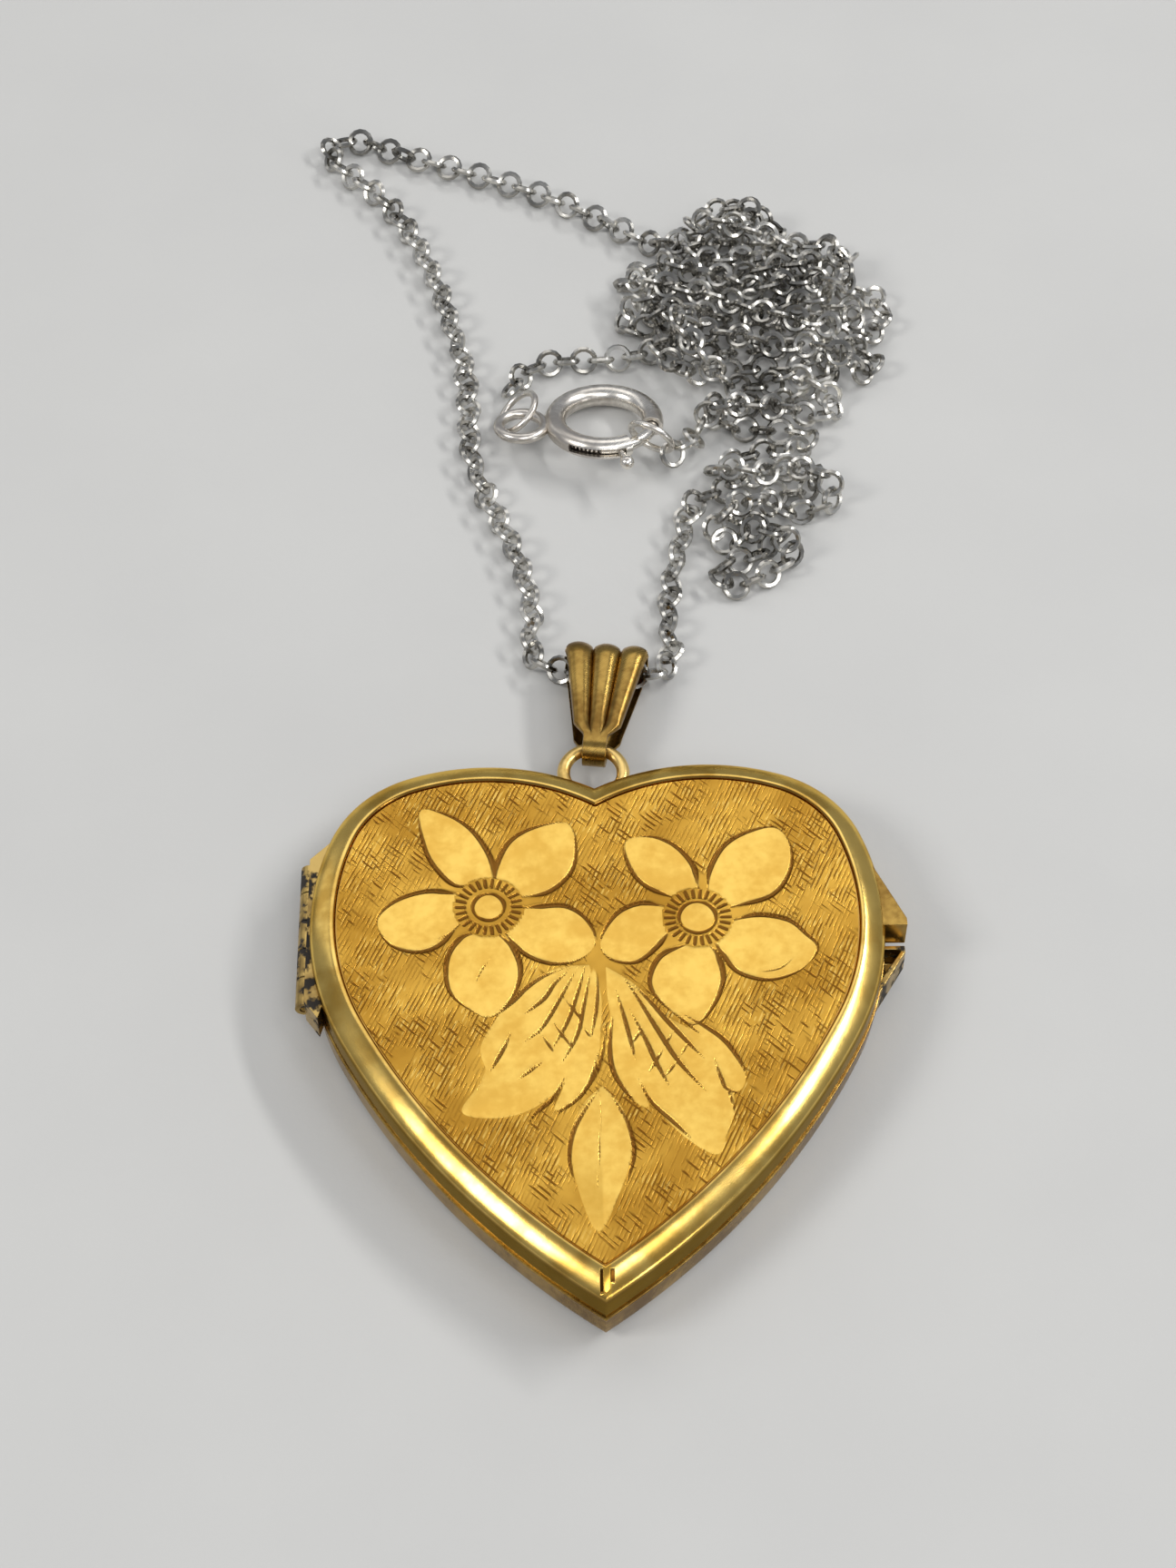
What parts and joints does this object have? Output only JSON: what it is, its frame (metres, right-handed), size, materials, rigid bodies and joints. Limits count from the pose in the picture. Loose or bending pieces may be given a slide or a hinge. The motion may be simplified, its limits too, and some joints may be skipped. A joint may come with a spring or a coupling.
{
  "type": "locket",
  "caption": "Heart-shaped engraved locket with a side hinge, thumb nibs, a fluted bail and a fine trace chain with a bolt-ring clasp.",
  "frame": {"origin": "middle of the heart on the flat outer face of the back shell, which lies on the table", "axes": "+Z out of the engraved front cover, +Y from the tip to the cleft and the bail, +X to the catch"},
  "size_m": [0.0309, 0.0733, 0.004],
  "materials": {
    "gold": "polished",
    "engraved_gold": "engraved",
    "inner_gold": "satin",
    "silver": "polished",
    "chain_silver": "tarnished",
    "window": "clear",
    "photo": "blank paper"
  },
  "bodies": {
    "back_half": {"back_shell": "gold", "back_snap_rim": "inner_gold", "back_photo": "photo", "back_window": "window", "back_photo_frame": "inner_gold", "back_hinge_plate": "gold", "back_knuckle_1": "gold", "back_knuckle_2": "gold", "back_knuckle_3": "gold", "hinge_pin": "gold", "back_thumb_nib": "gold", "suspension_lug": "gold", "chain_left": "chain_silver", "chain_in_bail": "chain_silver", "chain_right": "chain_silver", "chain_heap": "chain_silver", "chain_tail": "chain_silver", "clasp_tube": "silver", "clasp_spring": "silver", "clasp_eye": "silver", "clasp_jump_ring": "silver", "end_ring": "silver"},
    "cover": {"front_shell": "engraved_gold", "front_photo": "photo", "front_window": "window", "front_photo_frame": "inner_gold", "front_hinge_plate": "gold", "front_knuckle_1": "gold", "front_knuckle_2": "gold", "front_thumb_nib": "gold"},
    "bail": {"bail": "gold"},
    "clasp_bolt": {"clasp_bolt": "silver"}
  },
  "joints": [
    {"name": "cover_hinge", "type": "hinge", "parent": "back_half", "child": "cover", "pos_m": [-0.0129, 0.0052, 0.002], "axis": [0, -1, 0], "range_deg": [0, 170]},
    {"name": "bail_swing", "type": "hinge", "parent": "back_half", "child": "bail", "pos_m": [0.0001, 0.01586, 0.00155], "axis": [0.9928, -0.1201, 0], "range_deg": [-110, 110], "deforming": ["chain_in_bail"]},
    {"name": "bolt_slide", "type": "hinge", "parent": "back_half", "child": "clasp_bolt", "pos_m": [0.00095, 0.037, 0.00132], "axis": [0, 0.2419, 0.9703], "range_deg": [-48, 0], "stiffness_Nm_per_rad": 0.000005, "springref_deg": 11.46, "deforming": ["clasp_spring"]}
  ]
}
